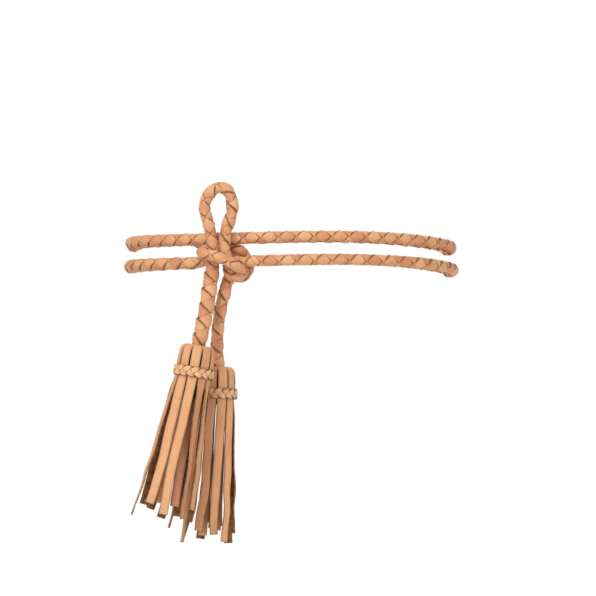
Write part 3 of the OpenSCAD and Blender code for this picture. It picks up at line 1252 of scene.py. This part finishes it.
@dataclass
class Tassel:
    """A fringe tassel: folded laces, core laces, braided neck ring, stopper knot, thread tie."""

    name: str
    pivot: Vector
    tilt: float
    seed: int
    laces: int = 10
    cores: int = 4
    lace_width: float = 0.0074
    lace_thickness: float = 0.0013
    length: float = 0.138
    head_radius: float = 0.0136
    cord_radius: float = 0.0048
    crown_drop: float = 0.003
    arch_height: float = 0.0063
    ring_drop: float = 0.0206
    ring_radius: float = 0.0146
    lace_turn: float = 0.0
    front_lean: float = 0.3
    side_lean: float = 6.0
    fringe_drift: float = 2.5
    fold_gap: float = 0.0004
    arch_peak: float = 0.36
    taper: float = 0.09
    materials: dict[str, Materials] = field(default_factory=dict)
    section: Section = field(default_factory=Section.flat)

    def axes(self) -> tuple[Array, Array]:
        """The tassel's turned axes as rows, and its crown top's place.

        Returns:
            The three axes, and the place in metres, both in the row frame.
        """
        a = math.radians(self.tilt)
        x = np.array([math.cos(a), 0.0, -math.sin(a)])
        z = np.array([math.sin(a), 0.0, math.cos(a)])
        origin = np.array(self.pivot) - z * self.crown_drop
        return np.stack([x, [0.0, 1.0, 0.0], z]), origin

    def to_row(self, local: Array) -> Array:
        """Points from the tassel's own frame to the row frame."""
        turn, origin = self.axes()
        return local @ turn + origin

    def cut_length(self, k: int, phase: float) -> float:
        """Length of a lace below the crown, cut a little uneven."""
        return self.length - 0.006 + 0.006 * math.sin(math.radians(137 * k + phase))

    def lean(self, angle: float) -> tuple[float, float]:
        """Outward and sideways lean of the lace at an angle round the tassel, in degrees."""
        fan = self.front_lean + (self.side_lean - self.front_lean) * math.cos(angle) ** 2
        return (fan - self.fringe_drift * math.cos(angle), self.fringe_drift * math.sin(angle))

    def fold_line(self) -> Array:
        """Half section of the fold: inner leg up, over the crown and down to the ring.

        Returns:
            Points in metres, as distance from the tassel's axis and height from its crown top.
        """
        inner = self.cord_radius + self.fold_gap + self.lace_thickness / 2
        outer = self.head_radius - self.lace_thickness / 2
        middle = inner + self.arch_peak * (outer - inner)
        up = [(inner, z) for z in np.linspace(-0.018, -self.arch_height - 0.001, 5)]
        arch = [(middle - (middle - inner if math.cos(t) > 0 else outer - middle) * math.cos(t),
                 self.arch_height * (math.sin(t) - 1)) for t in np.linspace(0, math.pi, 15)]
        down = [(outer + 0.0004 * math.sin(t * math.pi), -self.arch_height - 0.0125 * t)
                for t in np.linspace(0.12, 1, 6)]
        under = [(outer - 0.0006, -0.0205), (outer - 0.0004, -0.023)]
        return np.array(up + arch + down + under)

    def hanging(self, angle: float, hang: Fringe, length: float, seed: int,
                start: Array) -> Array:
        """The lace's centreline below the ring, as (outward, sideways, up).

        Args:
            angle: where the lace is round the tassel, in radians.
            hang: how it hangs.
            length: its length below the crown.
            seed: which waves it has.
            start: the fold's end, as (r, z).

        Returns:
            Points from just below the fold's end to the lace's cut end.
        """
        out, across = self.lean(angle)
        fall = np.linspace(0, 1, 44)[1:]
        drop = fall * (length + start[1])
        r = start[0] + drop * math.tan(math.radians(out + hang.outward)) + hang.curl * fall ** 2
        r = r + 0.0011 * fall * waves(seed, drop, (0.09, 0.04))
        side = drop * math.tan(math.radians(across + hang.sideways))
        side = side + 0.0013 * fall * waves(seed + 1, drop, (0.11, 0.05))
        return np.column_stack([r, side, start[1] - drop])

    def strip(self, mesh: Mesh, angle: float, line: Array, widths: Array, twist: Array,
              number: int, tone: float) -> None:
        """Sweeps a flat lace along a line in the plane at an angle round the tassel.

        Args:
            mesh: what the lace is added to.
            angle: where it is round the tassel, in radians.
            line: its centreline as (outward, sideways, up).
            widths: its width at each point.
            twist: how far it is turned about its length at each point, in radians.
            number: the lace's number, for its texture.
            tone: how pale it is.
        """
        tangent = units(np.gradient(line, axis=0))
        flat = units(np.array([0.0, 1.0, 0.0]) - tangent * tangent[:, 1:2])
        normal = np.cross(tangent, flat)
        across = np.cos(twist)[:, None] * flat + np.sin(twist)[:, None] * normal
        normal = np.cross(tangent, across)
        u = self.section.across[None, :] * widths[:, None] / 2
        h = self.section.height[None, :] * self.lace_thickness
        rings = line[:, None] + u[..., None] * across[:, None] + h[..., None] * normal[:, None]
        turn = np.array([[math.cos(angle), math.sin(angle), 0],
                         [-math.sin(angle), math.cos(angle), 0], [0, 0, 1]])
        rings = self.to_row(rings @ turn)
        along = distances(line)
        # painted shade on the lace's first centimetres, inside the head, fading out by 18 mm along
        hidden_shade = np.clip(1 - (along - 0.006) / 0.012, 0, 1)
        tones = tone + 0.12 * waves(self.seed + number, along, (0.07, 0.03))
        mesh.add(rings, self.section.faces, lace_values(
            u, along, number, tones, hidden_shade, np.abs(self.section.across)))

    def folded_lace(self, k: int, phase: float, rng: np.random.Generator) -> None:
        """One lace folded over the head, whose outer leg is a strip of the fringe.

        Args:
            k: the lace's number, from 1.
            phase: shifts the uneven lengths, in degrees.
            rng: the tassel's own random numbers.
        """
        angle = 2 * math.pi * (k - 1) / self.laces + math.radians(self.lace_turn)
        fold = self.fold_line()
        loose = Fringe.loose(rng)
        hang = FRINGES[self.name].get(k, loose)
        seed = self.seed * 10 + 2 * k
        tail = self.hanging(angle, hang, self.cut_length(k, phase), seed, fold[-1])
        line = np.vstack([np.column_stack([fold[:, 0], np.zeros(len(fold)), fold[:, 1]]), tail])
        half_wedge = math.pi / self.laces
        fall = np.concatenate([np.zeros(len(fold)), np.linspace(0, 1, len(tail))])
        widths = np.minimum(self.lace_width * (1 - self.taper * fall ** 0.5),
                            2.1 * line[:, 0] * math.tan(half_wedge))
        turned = math.radians(hang.turned) * np.clip(fall / 0.12, 0, 1)
        twist = turned + math.radians(hang.twist) * fall ** 1.3
        twist = twist + 0.16 * fall * waves(seed + 5, fall * 0.11, (0.08,))
        mesh = Mesh()
        self.strip(mesh, angle, line, widths, twist, k, hang.tone)
        self.finish(mesh, f"folded_lace_{k}", f"lace_{k}", "tassel_leather")

    def core_lace(self, k: int, phase: float, rng: np.random.Generator) -> None:
        """One of the cord's own lace ends, which hang in the middle of the fringe.

        Args:
            k: the lace's number, from 1.
            phase: shifts the uneven lengths, in degrees.
            rng: the tassel's own random numbers.
        """
        angle = math.pi / 2 * k + math.pi / 4
        top, radius = -0.030, 0.0049
        length = self.cut_length(k + self.laces, phase) - 0.004
        fall = np.linspace(0, 1, 36)
        drop = fall * (length + top)
        spread = rng.uniform(0.0, 0.004)
        line = np.column_stack([radius + spread * fall + 0.001 * fall * waves(k, drop, (0.08,)),
                                rng.uniform(-0.004, 0.004) * fall, top - drop])
        twist = rng.uniform(-1.4, 1.4) * fall
        mesh = Mesh()
        self.strip(mesh, angle, line, np.full(len(line), self.lace_width - 0.0004), twist,
                   20 + k, rng.uniform(0.1, 0.7))
        self.finish(mesh, f"cord_end_{k}", f"core_lace_{k}", "tassel_leather")

    def neck_ring(self) -> None:
        """The narrow ring braided flat from three laces round the neck."""
        mesh = Mesh()
        section = Section.crowned()
        plaits, width, swing = 5, 0.0046, 0.0022
        turns = np.linspace(0, 2 * math.pi, 220)
        for strand in range(3):
            beat = plaits * turns + 2 * math.pi * strand / 3
            height = swing * np.sin(beat)
            out = self.ring_radius + 0.00075 * np.sin(2 * beat)
            line = np.column_stack([out * np.cos(turns), out * np.sin(turns),
                                    height - self.ring_drop])
            tangent = np.gradient(line, axis=0)
            tangent[0] = tangent[-1] = (tangent[0] + tangent[-1]) / 2
            radial = np.column_stack([np.cos(turns), np.sin(turns), np.zeros(len(turns))])
            across = np.cross(radial, units(tangent))
            u = section.across[None, :] * width / 2
            h = section.height[None, :] * 0.0014
            rings = line[:, None] + u[..., None] * across[:, None] + h[..., None] * radial[:, None]
            along = turns * self.ring_radius
            # painted shade where a strand passes under the others
            dive = np.clip(0.5 - 0.5 * np.sin(2 * beat), 0, 1)
            tone = 0.5 + 0.25 * strand + 0.1 * np.sin(beat)
            mesh.add(self.to_row(rings), section.faces, lace_values(
                u, along, 40 + strand, tone, 0.8 * dive, np.abs(section.across)))
        self.finish(mesh, "braided_ring", "neck_ring", "ring_leather")

    def tube(self, mesh: Mesh, line: Array, radius: float, number: int, sides: int = 10) -> None:
        """Adds a plain round strand along a line in the tassel's own frame.

        Args:
            mesh: the mesh it is added to.
            line: its centreline, in metres.
            radius: its radius, in metres.
            number: the strand's own number.
            sides: how many sides its section has.
        """
        side, up = carried_frame(line)
        angle = np.arange(sides)[None, :] * 2 * math.pi / sides
        out = round_about(angle, side[:, None], up[:, None])
        along = distances(line)
        # a dive of 0.35 paints a little shade evenly along the strand
        mesh.add(self.to_row(line[:, None] + radius * out), [Side.GRAIN] * sides,
                 lace_values(angle * radius, along, number, 0.3, 0.35))

    def stopper_knot(self) -> None:
        """The overhand knot at the cord's end that the folded laces can't slip over."""
        t = np.linspace(0, 2 * math.pi, 140)
        size = 0.0024
        line = np.column_stack([size * (np.sin(t) + 1.35 * np.sin(2 * t)),
                                size * (np.cos(t) - 1.35 * np.cos(2 * t)),
                                -0.9 * size * np.sin(3 * t) - 0.025])
        mesh = Mesh()
        self.tube(mesh, line, 0.0026, 50)
        self.finish(mesh, "overhand_knot", "stopper_knot", "cord_leather")

    def thread_tie(self) -> None:
        """The thread wound round the laces' inner legs."""
        turns, top, thread = 7, -0.012, 0.0005
        t = np.linspace(0, turns * 2 * math.pi, turns * 28)
        radius = self.cord_radius + self.fold_gap + self.lace_thickness + thread
        line = np.column_stack([radius * np.cos(t), radius * np.sin(t),
                                top - 0.0063 * t / t[-1]])
        mesh = Mesh()
        self.tube(mesh, line, thread, 60, sides=8)
        self.finish(mesh, "wound_thread", "thread_tie", "thread")

    def finish(self, mesh: Mesh, piece: str, stands_for: str, slot: str) -> None:
        """Builds a piece, rides it on the tassel's body and replaces its CAD node.

        Args:
            mesh: the piece's rings.
            piece: the piece's name within the tassel.
            stands_for: its CAD node's name within the tassel.
            slot: its material slot.
        """
        obj = mesh.build(f"{self.name}_{piece}", self.materials[slot])
        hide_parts(f"{self.name}_{stands_for}")
        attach(obj, self.name)
        log.info("tassel piece %s", obj.name)

    def build(self) -> None:
        """Builds the whole tassel."""
        rng = np.random.default_rng(self.seed)
        phase = 0.0 if self.name == "tassel_a" else 200.0
        for k in range(1, self.laces + 1):
            self.folded_lace(k, phase, rng)
        for k in range(1, self.cores + 1):
            self.core_lace(k, phase, rng)
        self.neck_ring()
        self.stopper_knot()
        self.thread_tie()


# ---- the studio ----

@dataclass
class Studio:
    """Camera, soft lights, white surroundings and a pale floor."""

    aim: tuple[float, float, float] = (0.0056, -0.080, -0.0392)
    elevation: float = -2.5
    distance: float = 4.0
    picture_width: float = 0.469
    sensor: float = 36.0
    floor_drop: float = 1.0
    floor_half: float = 8.0

    def camera(self) -> None:
        """Places the camera in front, a little below the belt."""
        data = bpy.data.cameras.new("camera")
        data.sensor_width = self.sensor
        data.lens = self.sensor * self.distance / self.picture_width
        data.clip_end = 60.0
        obj = linked("camera", data)
        e = math.radians(self.elevation)
        away = Vector((0, -math.cos(e), math.sin(e))) * self.distance
        obj.location = Vector(self.aim) + away
        obj.rotation_euler = (math.radians(90) - e, 0, 0)
        bpy.context.scene.camera = obj

    def light(self, name: str, place: tuple[float, float, float], size: float,
              power: float) -> None:
        """Adds a soft square lamp that faces the belt.

        Args:
            name: the lamp's name.
            place: where it stands, in metres.
            size: its side, in metres.
            power: its power, in watts.
        """
        data = bpy.data.lights.new(name, "AREA")
        data.size = size
        data.energy = power
        obj = linked(name, data)
        obj.location = place
        towards = Vector(self.aim) - Vector(place)
        obj.rotation_euler = towards.to_track_quat("-Z", "Y").to_euler()

    def world(self) -> None:
        """White surroundings: full white to look at, softer as light."""
        world = bpy.data.worlds.new("studio")
        world.use_nodes = True
        bpy.context.scene.world = world
        tree = world.node_tree
        light, seen = tree.nodes["Background"], node(tree, "ShaderNodeBackground")
        for background, strength in ((light, 0.62), (seen, 1.0)):
            background.inputs["Color"].default_value = (1, 1, 1, 1)
            background.inputs["Strength"].default_value = strength
        path = node(tree, "ShaderNodeLightPath")
        mix = node(tree, "ShaderNodeMixShader")
        link(tree, path.outputs["Is Camera Ray"], mix.inputs[0])
        link(tree, light.outputs[0], mix.inputs[1])
        link(tree, seen.outputs[0], mix.inputs[2])
        link(tree, mix.outputs[0], tree.nodes["World Output"].inputs["Surface"])

    def floor(self) -> None:
        """A plain pale floor well below the hanging belt."""
        h, z = self.floor_half, -self.floor_drop
        mesh = bpy.data.meshes.new("floor")
        mesh.from_pydata([(-h, -h, z), (h, -h, z), (h, h, z), (-h, h, z)], [], [(0, 1, 2, 3)])
        material = bpy.data.materials.new("pale_floor")
        material.use_nodes = True
        shader = material.node_tree.nodes["Principled BSDF"]
        shader.inputs["Base Color"].default_value = (0.9, 0.9, 0.9, 1)
        shader.inputs["Roughness"].default_value = 0.9
        mesh.materials.append(material)
        linked("floor", mesh)

    def build(self) -> None:
        """Sets up the whole studio."""
        self.camera()
        self.world()
        self.light("key", (-1.3, -2.0, 1.5), 1.6, 42.0)
        self.light("fill", (1.8, -1.8, 0.3), 1.8, 12.0)
        self.light("rim", (0.3, 1.6, 1.6), 1.4, 14.0)
        self.floor()
        bpy.context.scene.view_settings.view_transform = "Standard"


# ---- the belt ----

# the grain finishes' crease colours are painted shade, and the other finishes paint shade with
# their deep colour
CORD_GRAIN = GrainFinish("braid_grain", warm=srgb(206, 138, 98), pale=srgb(226, 172, 124),
                         dark=srgb(160, 100, 62), crease_shade=srgb(108, 60, 28), dive=0.4, edge=0.95)
STRAP_GRAIN = GrainFinish("strap_grain", warm=srgb(200, 136, 94), pale=srgb(226, 168, 120),
                          dark=srgb(150, 96, 58), crease_shade=srgb(90, 52, 28), edge=0.25,
                          stretch=7.0, flecks=0.5)
RING_GRAIN = GrainFinish("ring_grain", warm=srgb(208, 148, 104), pale=srgb(232, 184, 134),
                         dark=srgb(170, 112, 74), crease_shade=srgb(96, 56, 32))
FLESH = FleshFinish("flesh_side", light=srgb(166, 118, 74), deep=srgb(88, 54, 28))
EDGE = FleshFinish("cut_edge", light=srgb(196, 146, 104), deep=srgb(128, 86, 56), nap=0.5,
                   roughness=0.7)
THREAD = FleshFinish("waxed_thread", light=srgb(120, 84, 56), deep=srgb(70, 44, 26), nap=0.4,
                     roughness=0.5)


def main() -> None:
    """Builds the studio, the cord and the two tassels, in that order."""
    logging.basicConfig(level=logging.INFO, format="%(name)s: %(message)s")
    Studio().build()
    groups = Groups()
    flesh, edge = FLESH.make(groups), EDGE.make(groups)
    cord, strap, ring = ([grain.make(groups), flesh, edge]
                         for grain in (CORD_GRAIN, STRAP_GRAIN, RING_GRAIN))
    leathers = {"tassel_leather": strap, "cord_leather": strap, "ring_leather": ring,
                "thread": [THREAD.make(groups)]}
    line = CordLine()
    log.info("the whole cord is %.3f m long", line.along[-1])
    belt = BraidedCord(line, RoundBraid(line), cord)
    pieces = belt.build()
    marks = line.marks
    Tassel("tassel_a", line.centre(marks[Stretch.TAIL_A][0]), line.tilt_a, seed=11,
           lace_turn=18.0, materials=leathers).build()
    Tassel("tassel_b", line.centre(marks[Stretch.TAIL_B][1]), line.tilt_b, seed=23,
           materials=leathers).build()
    belt.declare(marks[Stretch.LOOP][0] - belt.leg_cut,
                 marks[Stretch.TAIL_A][0] + belt.neck_cut)
    belt.declare(marks[Stretch.TAIL_B][0] - belt.root_cut,
                 marks[Stretch.TAIL_B][1] - belt.neck_cut)


if __name__ == "__main__":
    main()
